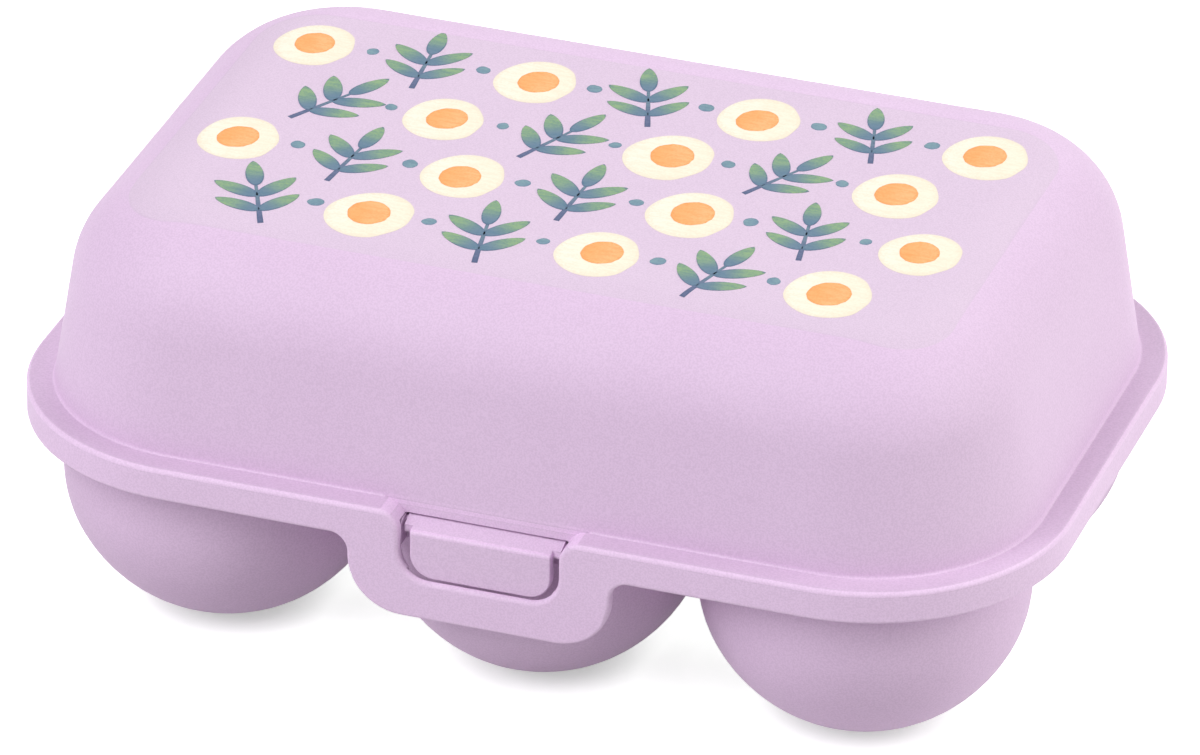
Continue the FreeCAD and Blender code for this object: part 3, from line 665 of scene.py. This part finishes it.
@dataclass
class LabelPrint:
    """The printed design on the lid's film: rows of cream rounds with orange hearts between leafy sprigs."""

    column_pitch: float = 17.0 * MM
    row_pitch: float = 15.4 * MM
    lean: float = 0.35
    sprig_lean: float = 1.6
    size_span: Span = (0.94, 1.06)
    round_half_x: float = 5.9 * MM
    round_half_y: float = 6.6 * MM
    round_full_end: float = 1.08
    round_full_from: float = 0.2
    round_dent: tuple[float, float, float] = (-0.5 * MM, 0.3 * MM, 0.0)
    round_dent_from: float = 0.92
    round_dent_reach: float = 3.5 * MM
    heart_radius: float = 3.0 * MM
    heart_stretch: float = 1.12
    heart_rough: float = 0.12 * MM
    heart_shift_x: float = 0.5 * MM
    heart_shift_y: float = 0.6 * MM
    leaf_half_length: float = 3.3 * MM
    leaf_half_width: float = 1.35 * MM
    leaf_tip: float = 0.9 * MM
    leaf_tip_from: float = 0.97
    leaf_tip_reach: float = 2.4 * MM
    leaf_pairs: tuple[LeafPair, ...] = (LeafPair(0.30, 0.95, 0.95), LeafPair(0.66, 0.85, 1.0))
    end_leaf_share: float = 0.93
    end_leaf_size: float = 0.95
    stem_length: float = 11.5 * MM
    stem_half_width: float = 0.42 * MM
    stem_steps: int = 10
    stem_end_from: float = 0.9
    stem_taper: float = 0.93
    stem_below: float = 0.68
    dot_radius: float = 0.95 * MM
    dot_stretch: float = 1.15
    dot_rough: float = 0.07 * MM
    dot_rise: float = 0.06
    dot_size_span: Span = (0.85, 1.15)
    above: float = 66.6 * MM
    lift: float = 0.035 * MM
    overlap_lift: float = 0.02 * MM
    body_thickness: float = 0.05 * MM
    smooth_angle: float = math.radians(40)
    seed: int = 41
    row_lengths: tuple[int, ...] = (7, 6, 7, 6)

    def build(
        self, film: bpy.types.Object, inks: dict[Print, bpy.types.Material],
    ) -> list[bpy.types.Object]:
        """Builds every printed piece on the film.

        Args:
            film: the label's CAD node.
            inks: the pieces' materials.

        Returns:
            The pieces.
        """
        stamps = {
            Print.ROUND: Stamp(self.round_master()),
            Print.HEART: Stamp(self.heart_master()),
            Print.LEAF: Stamp(self.leaf_master()),
            Print.STEM: Stamp(self.stem_master()),
            Print.DOT: Stamp(self.dot_master()),
        }
        draw = random.Random(self.seed)
        for motif, x, y in self.places():
            turn = draw.uniform(-self.lean, self.lean)
            grow = draw.uniform(*self.size_span)
            if motif is Motif.ROUND:
                stamps[Print.ROUND].press(x, y, turn, grow)
                shift_x = draw.uniform(-self.heart_shift_x, self.heart_shift_x)
                shift_y = draw.uniform(-self.heart_shift_y, self.heart_shift_y)
                stamps[Print.HEART].press(x + shift_x, y + shift_y, -turn, grow)
            else:
                self.lay_sprig(stamps, x, y, math.pi / 2 + turn * self.sprig_lean, grow)
        for x, y in self.dot_places():
            turn = draw.uniform(0, math.pi)
            stamps[Print.DOT].press(x, y, turn, draw.uniform(*self.dot_size_span))
        pieces = []
        for kind, stamp in stamps.items():
            overlap = self.overlap_lift if kind in (Print.HEART, Print.LEAF) else 0.0
            pieces.append(self.lay_on(stamp.join(kind.value), film, self.lift + overlap, inks[kind]))
        return pieces

    def row_y(self, row: int) -> float:
        """Gives a row's place across the depth."""
        return LABEL_MIDDLE_Y + ((len(self.row_lengths) - 1) / 2 - row) * self.row_pitch

    def places(self) -> list[tuple[Motif, float, float]]:
        """Lists the motifs, rounds and sprigs by turns, with their places on the label's plane.

        Returns:
            Motif, place along the length and place across the depth.
        """
        found = []
        for row, length in enumerate(self.row_lengths):
            for column in range(length):
                motif = Motif.SPRIG if (row + column) % 2 else Motif.ROUND
                found.append((motif, (column - (length - 1) / 2) * self.column_pitch, self.row_y(row)))
        return found

    def dot_places(self) -> list[tuple[float, float]]:
        """Lists the places of the small dots, midway between neighbours of a row.

        Returns:
            Place along the length and place across the depth.
        """
        found = []
        for row, length in enumerate(self.row_lengths):
            for column in range(length - 1):
                x = (column + 1 - length / 2) * self.column_pitch
                found.append((x, self.row_y(row) + self.row_pitch * self.dot_rise))
        return found

    def round_master(self) -> bpy.types.Object:
        """Models one cream round, fuller at one end.

        Returns:
            The flat master.
        """
        half_x, half_y = self.round_half_x, self.round_half_y
        piece = Bench.disc("round_master", sides=40, rings=5, half_x=half_x, half_y=half_y)
        Bench.pick(piece, lambda place: place.y < -half_y * self.round_full_from)
        bpy.ops.transform.resize(
            value=(self.round_full_end, 1.0, 1.0), use_proportional_edit=True,
            proportional_size=half_y,
        )
        Bench.pick(piece, lambda place: place.x > half_x * self.round_dent_from)
        bpy.ops.transform.translate(
            value=self.round_dent, use_proportional_edit=True, proportional_size=self.round_dent_reach,
        )
        return Bench.end_flat(piece)

    def heart_master(self) -> bpy.types.Object:
        """Models one orange heart of a round.

        Returns:
            The flat master.
        """
        half_x, half_y = self.heart_radius, self.heart_radius * self.heart_stretch
        piece = Bench.disc("heart_master", sides=28, rings=3, half_x=half_x, half_y=half_y)
        Bench.roughen(self.heart_rough, self.seed)
        return Bench.end_flat(piece)

    def leaf_master(self) -> bpy.types.Object:
        """Models one leaf with a drawn-out tip, its root at the origin.

        Returns:
            The flat master.
        """
        half_x, half_y = self.leaf_half_length, self.leaf_half_width
        piece = Bench.disc("leaf_master", sides=24, rings=3, half_x=half_x, half_y=half_y)
        Bench.pick(piece, lambda place: place.x > half_x * self.leaf_tip_from)
        bpy.ops.transform.translate(
            value=(self.leaf_tip, 0.0, 0.0), use_proportional_edit=True, proportional_edit_falloff="SHARP",
            proportional_size=self.leaf_tip_reach,
        )
        bpy.ops.mesh.select_all(action="SELECT")
        bpy.ops.transform.translate(value=(half_x, 0.0, 0.0))
        return Bench.end_flat(piece)

    def stem_master(self) -> bpy.types.Object:
        """Models one tapering stem along the length, its root at the origin, by extruding an edge.

        Returns:
            The flat master.
        """
        Bench.clear()
        pitch = self.stem_length / self.stem_steps
        middle = (pitch / 2, 0.0, 0.0)
        bpy.ops.mesh.primitive_plane_add(size=1.0, location=middle)
        piece = bpy.context.object
        piece.name = "stem_master"
        bpy.ops.object.mode_set(mode="EDIT")
        bpy.ops.mesh.select_all(action="SELECT")
        bpy.ops.transform.resize(value=(pitch, self.stem_half_width * 2, 1.0), center_override=middle)
        bpy.ops.object.mode_set(mode="OBJECT")
        bpy.ops.object.transform_apply(location=True, rotation=True, scale=True)
        bpy.ops.object.mode_set(mode="EDIT")
        Bench.pick(piece, lambda place: place.x > pitch * self.stem_end_from)
        bpy.ops.mesh.select_mode(type="EDGE")
        for _ in range(self.stem_steps - 1):
            bpy.ops.mesh.extrude_edges_move(TRANSFORM_OT_translate={"value": (pitch, 0.0, 0.0)})
            bpy.ops.transform.resize(value=(1.0, self.stem_taper, 1.0))
        bpy.ops.mesh.select_mode(type="VERT")
        return Bench.end_flat(piece)

    def dot_master(self) -> bpy.types.Object:
        """Models one small dot, a little out of round.

        Returns:
            The flat master.
        """
        half_x, half_y = self.dot_radius, self.dot_radius * self.dot_stretch
        piece = Bench.disc("dot_master", sides=18, rings=2, half_x=half_x, half_y=half_y)
        Bench.roughen(self.dot_rough, self.seed + 1)
        return Bench.end_flat(piece)

    def lay_sprig(self, stamps: dict[Print, Stamp], x: float, y: float, turn: float, grow: float) -> None:
        """Lays one sprig: a stem, leaves in pairs and a leaf at its end.

        Args:
            stamps: the pieces' stamps.
            x: the sprig's middle along the length.
            y: the sprig's middle across the depth.
            turn: direction of the stem, in radians.
            grow: size against the masters'.
        """
        along = Vector((math.cos(turn), math.sin(turn))) * (self.stem_length * grow)
        root = Vector((x, y)) - along * self.stem_below
        stamps[Print.STEM].press(root.x, root.y, turn, grow)
        for pair in self.leaf_pairs:
            foot = root + along * pair.share
            for side in (-1, 1):
                stamps[Print.LEAF].press(foot.x, foot.y, turn + side * pair.spread, pair.size * grow)
        foot = root + along * self.end_leaf_share
        stamps[Print.LEAF].press(foot.x, foot.y, turn, self.end_leaf_size * grow)

    def lay_on(
        self, piece: bpy.types.Object, film: bpy.types.Object, rise: float, ink: bpy.types.Material,
    ) -> bpy.types.Object:
        """Lays a flat piece on the film, gives it a body and its ink, and lets it ride on the lid.

        Args:
            piece: the joined flat piece.
            film: the label's CAD node.
            rise: height of the ink's top above the film.
            ink: the material.

        Returns:
            The finished piece.
        """
        piece.data.transform(Matrix.Translation((0.0, 0.0, self.above)))
        wrap = piece.modifiers.new("lay", "SHRINKWRAP")
        wrap.target = film
        wrap.wrap_method = "NEAREST_SURFACEPOINT"
        wrap.offset = rise
        wrap.wrap_mode = "ABOVE_SURFACE"
        thick = piece.modifiers.new("body", "SOLIDIFY")
        thick.thickness = self.body_thickness
        thick.offset = -1.0
        Bench.apply(piece)
        piece.data.materials.clear()
        piece.data.materials.append(ink)
        bpy.ops.object.shade_smooth_by_angle(angle=self.smooth_angle)
        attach(piece, Body.LID.value)
        return piece


@dataclass
class Mouldings:
    """The CAD nodes that stay as they are and only get their finish."""

    finishes: dict[str, PlasticFinish] = field(default_factory=lambda: {
        "base_tray": TRAY_PLASTIC,
        "lid_shell": LID_PLASTIC,
        LABEL_NODE: LABEL_FILM,
        "latch_catch": CATCH_PLASTIC,
        "hinge_pin_left": PIN_PLASTIC,
        "hinge_pin_right": PIN_PLASTIC,
    })

    def dress(self, surface: bpy.types.NodeTree) -> None:
        """Gives every CAD node its material.

        Args:
            surface: the moulded surface's node group.
        """
        made: dict[str, bpy.types.Material] = {}
        for node, finish in self.finishes.items():
            if finish.name not in made:
                made[finish.name] = finish.material(surface)
            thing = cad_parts[node]
            if not thing.material_slots:
                thing.data.materials.append(made[finish.name])
            for slot in thing.material_slots:
                slot.material = made[finish.name]
            log.info("dressed %s with %s", node, finish.name)


@dataclass(frozen=True)
class Lamp:
    """One soft lamp: where it stands, its width and height in metres, its power in watts and its tint."""

    name: str
    place: tuple[float, float, float]
    size: tuple[float, float]
    power: float
    tint: Colour


COOL = (0.99, 0.99, 1.01)
PLAIN = (1.0, 1.0, 1.0)
WARM = (0.985, 1.01, 0.955)
LAMPS = (
    Lamp("front_high_softbox", (-0.42, -0.72, 1.24), (0.8, 0.6), 8.9, COOL),
    Lamp("front_softbox", (-0.5, -1.1, 0.9), (0.8, 0.6), 3.4, COOL),
    Lamp("front_left_softbox", (-0.95, -1.0, 0.75), (0.8, 0.6), 6.7, COOL),
    Lamp("right_softbox", (1.35, -0.05, 0.55), (0.9, 0.9), 6.6, WARM),
    Lamp("right_back_softbox", (1.3, 0.45, 0.55), (0.9, 0.9), 5.2, WARM),
    Lamp("right_high_softbox", (0.95, 0.1, 1.1), (0.8, 0.8), 4.4, PLAIN),
    Lamp("top_softbox", (0.25, 0.35, 1.3), (1.3, 1.1), 1.0, PLAIN),
    Lamp("back_softbox", (0.0, 1.3, 0.9), (1.2, 0.9), 7.6, PLAIN),
    Lamp("left_back_softbox", (-0.9, 0.8, 0.9), (0.9, 0.9), 2.5, PLAIN),
)


@dataclass
class Studio:
    """Pale floor, soft lamps and the camera.

    The floor's tint evens out the lilac that the box throws on it.
    """

    floor_size: float = 12.0
    floor_deep: Colour = (0.65, 0.65, 0.65)
    floor_pale: Colour = (0.69, 0.69, 0.69)
    floor_cloud_scale: float = 3.0
    floor_tint: Colour = (0.985, 1.0, 0.983)
    floor_lift: float = 0.985
    contact_lift: float = 0.46
    contact_reach: float = 0.016
    contact_span: Span = (0.1, 0.5)
    world_strength: float = 0.01
    azimuth: float = math.radians(18.902)
    elevation: float = math.radians(28.942)
    roll: float = math.radians(0.586)
    distance: float = 1485.1 * MM
    target: Vector = field(default_factory=lambda: Vector((0.0, -2.3 * MM, 34.5 * MM)))
    lens: float = 310.46
    sensor: float = 36.0
    shift_x: float = 0.000725
    shift_y: float = -0.01455
    far_clip: float = 20.0

    def build(self) -> None:
        """Builds floor, world, lamps and camera."""
        self.floor()
        self.world()
        for lamp in LAMPS:
            self.hang(lamp)
        self.camera()

    def floor(self) -> None:
        """Lays the floor, white to the camera but where the box shades it or stands on it."""
        Bench.clear()
        bpy.ops.mesh.primitive_plane_add(size=self.floor_size)
        floor = bpy.context.object
        floor.name = "studio_floor"
        graph, made = start_material("studio_floor")
        place = graph.add("TexCoord").outputs["Object"]
        cloud = graph.noise(place, self.floor_cloud_scale, detail=2.0)
        tone = graph.mix(cloud, opaque(self.floor_deep), opaque(self.floor_pale))
        matte = graph.add("BsdfDiffuse", {"Color": tone})
        open_sky = graph.add("AmbientOcclusion", {"Distance": self.contact_reach}).outputs["AO"]
        lift = graph.ramp(open_sky, *self.contact_span, self.contact_lift, self.floor_lift)
        seen = graph.math("MULTIPLY", self.plain_rays(graph), lift)
        glow = graph.add("Emission", {"Color": opaque(self.floor_tint), "Strength": seen})
        both = graph.add("AddShader", {0: matte.outputs[0], 1: glow.outputs[0]})
        graph.add("OutputMaterial", {"Surface": both.outputs[0]})
        floor.data.materials.append(made)

    @staticmethod
    def plain_rays(graph: Graph) -> Socket:
        """Marks the rays that show the plain white surroundings: the camera's, gloss's and glass's.

        Args:
            graph: the graph of the floor's material or of the world.

        Returns:
            One for such a ray, nought for the others.
        """
        path = graph.add("LightPath")
        bent = graph.math("MAXIMUM", path.outputs["Is Glossy Ray"], path.outputs["Is Transmission Ray"])
        return graph.math("MAXIMUM", path.outputs["Is Camera Ray"], bent)

    def world(self) -> None:
        """Sets a plain white world, full white only to the camera, to gloss and through glass."""
        world = bpy.data.worlds.new("studio_world")
        world.use_nodes = True
        bpy.context.scene.world = world
        graph = Graph(world.node_tree)
        rest = 1.0 - self.world_strength
        strength = graph.math("MULTIPLY_ADD", self.plain_rays(graph), rest, self.world_strength)
        sky = graph.add("Background", {"Color": opaque(PLAIN), "Strength": strength})
        graph.add("OutputWorld", {"Surface": sky.outputs[0]})

    def hang(self, lamp: Lamp) -> None:
        """Hangs one soft lamp, aimed at the box.

        Args:
            lamp: the lamp to hang.
        """
        light = bpy.data.lights.new(lamp.name, "AREA")
        light.shape = "RECTANGLE"
        light.size, light.size_y = lamp.size
        light.energy = lamp.power
        light.color = lamp.tint
        holder = bpy.data.objects.new(lamp.name, light)
        holder.location = lamp.place
        holder.rotation_euler = (self.target - Vector(lamp.place)).to_track_quat("-Z", "Y").to_euler()
        bpy.context.scene.collection.objects.link(holder)

    def camera(self) -> None:
        """Places the camera at the photograph's viewing angle."""
        back = Vector((
            math.sin(self.azimuth) * math.cos(self.elevation),
            -math.cos(self.azimuth) * math.cos(self.elevation),
            math.sin(self.elevation),
        ))
        right = Vector((math.cos(self.azimuth), math.sin(self.azimuth), 0.0))
        up = back.cross(right)
        rolled_right = right * math.cos(self.roll) + up * math.sin(self.roll)
        rolled_up = up * math.cos(self.roll) - right * math.sin(self.roll)
        lens = bpy.data.cameras.new("studio_camera")
        lens.sensor_width = self.sensor
        lens.sensor_fit = "HORIZONTAL"
        lens.lens = self.lens
        lens.shift_x = self.shift_x
        lens.shift_y = self.shift_y
        lens.clip_end = self.far_clip
        holder = bpy.data.objects.new("studio_camera", lens)
        basis = Matrix((rolled_right, rolled_up, back)).transposed().to_4x4()
        holder.matrix_world = Matrix.Translation(self.target + back * self.distance) @ basis
        bpy.context.scene.collection.objects.link(holder)
        bpy.context.scene.camera = holder


def main() -> None:
    """Dresses the box, prints its label and sets the studio."""
    logging.basicConfig(level=logging.INFO, format="%(name)s: %(message)s")
    Mouldings().dress(MouldedSurface().group())
    strokes = CrayonStrokes().group()
    inks = {kind: ink.material(strokes) for kind, ink in INKS.items()}
    for piece in LabelPrint().build(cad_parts[LABEL_NODE], inks):
        log.info("made %s: %d faces", piece.name, len(piece.data.polygons))
    Studio().build()
    bpy.context.scene.view_settings.view_transform = "Standard"


if __name__ == "__main__":
    main()
